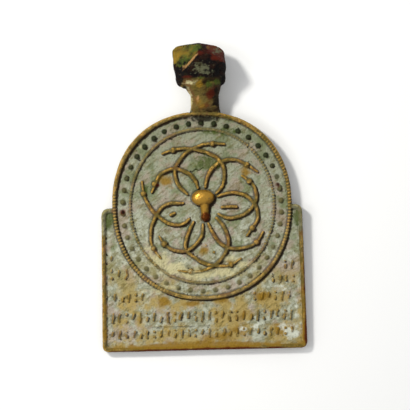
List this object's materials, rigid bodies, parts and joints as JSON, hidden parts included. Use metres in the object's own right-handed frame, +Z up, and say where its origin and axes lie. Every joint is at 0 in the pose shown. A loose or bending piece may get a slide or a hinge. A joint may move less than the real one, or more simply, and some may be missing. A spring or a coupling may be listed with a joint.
{
  "type": "bronze pendant icon",
  "caption": "Flat cast bronze pendant with an arched medallion, a six-petalled rosette in relief, a wider foot with rows of strokes, and a bored bead on a neck.",
  "frame": {"origin": "under the middle of the resting pendant, on the surface it lies on", "axes": "+Z up out of the relief face, +Y from the foot of the plate towards the bead, +X to the right of someone facing the relief"},
  "size_m": [0.0602, 0.0898, 0.0129],
  "materials": {
    "patinated_bronze": "cast bronze, worn ridges, grey-green patina in the field"
  },
  "bodies": {
    "root": {"icon": "patinated_bronze"}
  },
  "joints": []
}
